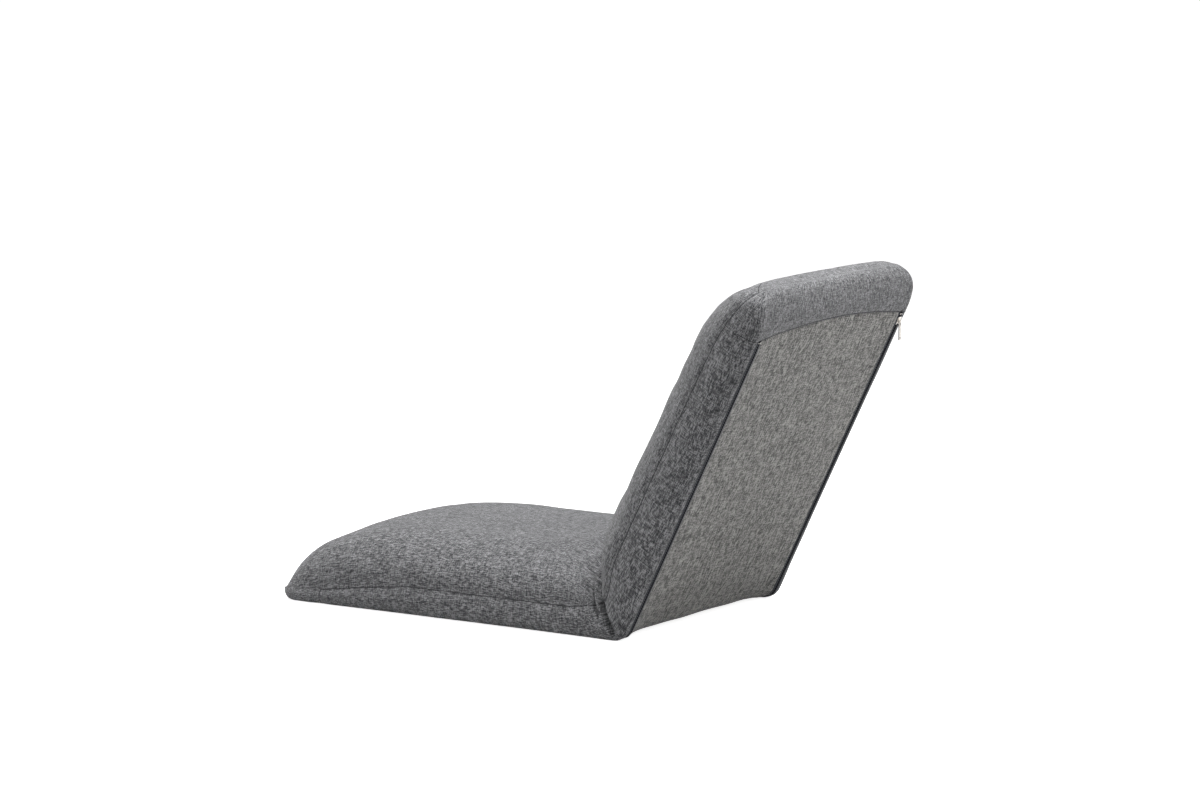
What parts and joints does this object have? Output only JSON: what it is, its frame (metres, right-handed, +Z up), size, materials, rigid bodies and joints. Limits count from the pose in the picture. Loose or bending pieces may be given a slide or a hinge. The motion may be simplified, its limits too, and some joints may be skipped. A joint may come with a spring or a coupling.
{
  "type": "folding floor chair",
  "caption": "Legless padded floor chair in grey woven cloth: a crowned seat and a folding back held by ratchet hinges, with a zip up each edge of the rear panel.",
  "frame": {"origin": "middle of the seat's flat underside, at floor level and half way between the sides", "axes": "+Z up, the chair faces -Y, +X to the sitter's left"},
  "size_m": [0.42, 0.8077, 0.5164],
  "materials": {
    "cover_cloth": "matte",
    "rear_cloth": "matte",
    "foam": "matte",
    "webbing": "matte",
    "frame_steel": "satin",
    "hinge_steel": "satin",
    "washer_plastic": "matte",
    "zip_tape": "satin",
    "zip_metal": "gloss"
  },
  "bodies": {
    "seat": {"seat_frame": "frame_steel", "seat_cross_bars": "frame_steel", "seat_straps": "webbing", "seat_frame_rivets": "hinge_steel", "seat_foam": "foam", "seat_base_pad": "foam", "seat_top_panel": "cover_cloth", "seat_side_panel_left": "cover_cloth", "seat_side_panel_right": "cover_cloth", "seat_underside_panel": "rear_cloth", "seat_zip": "zip_tape", "crease_cloth": "cover_cloth", "crease_foam": "foam", "corner_cloth": "rear_cloth", "corner_zips": "zip_tape", "left_hinge_fork": "hinge_steel", "left_pivot_pin": "hinge_steel", "left_hinge_washers": "washer_plastic", "left_pawl_pin": "hinge_steel", "left_pawl_spring": "hinge_steel", "right_hinge_fork": "hinge_steel", "right_pivot_pin": "hinge_steel", "right_hinge_washers": "washer_plastic", "right_pawl_pin": "hinge_steel", "right_pawl_spring": "hinge_steel"},
    "back": {"back_frame": "frame_steel", "back_cross_bars": "frame_steel", "back_straps": "webbing", "back_frame_rivets": "hinge_steel", "back_foam": "foam", "back_rear_pad": "foam", "back_front_panel": "cover_cloth", "back_side_panel_left": "cover_cloth", "back_side_panel_right": "cover_cloth", "back_rear_panel": "rear_cloth", "zip_left": "zip_tape", "zip_right": "zip_tape", "zip_stops": "zip_metal", "left_ratchet_arm": "hinge_steel", "right_ratchet_arm": "hinge_steel"},
    "left_pawl": {"left_pawl": "hinge_steel"},
    "right_pawl": {"right_pawl": "hinge_steel"},
    "zip_slider": {"zip_slider": "zip_metal"},
    "zip_pull": {"zip_pull": "zip_metal"}
  },
  "joints": [
    {"name": "recline", "type": "hinge", "parent": "seat", "child": "back", "pos_m": [0, 0.265, 0.028], "axis": [1, 0, 0], "range_deg": [-64, 32], "deforming": ["crease_cloth", "crease_foam", "corner_cloth", "corner_zips"]},
    {"name": "left_pawl_swing", "type": "hinge", "parent": "seat", "child": "left_pawl", "pos_m": [0.17, 0.232, 0.031], "axis": [1, 0, 0], "range_deg": [0, 8], "stiffness_Nm_per_rad": 0.05, "deforming": ["left_pawl_spring"]},
    {"name": "right_pawl_swing", "type": "hinge", "parent": "seat", "child": "right_pawl", "pos_m": [-0.17, 0.232, 0.031], "axis": [1, 0, 0], "range_deg": [0, 8], "stiffness_Nm_per_rad": 0.05, "deforming": ["right_pawl_spring"]},
    {"name": "zip_slide", "type": "slide", "parent": "back", "child": "zip_slider", "axis": [0, -0.4384, -0.8988], "range_m": [0, 0.39]},
    {"name": "pull_swing", "type": "hinge", "parent": "zip_slider", "child": "zip_pull", "pos_m": [-0.1925, 0.49022, 0.41882], "axis": [1, 0, 0], "range_deg": [-26, 120]}
  ],
  "couplings": [
    {"joint": "right_pawl_swing", "follows": "left_pawl_swing", "ratio": 1}
  ]
}
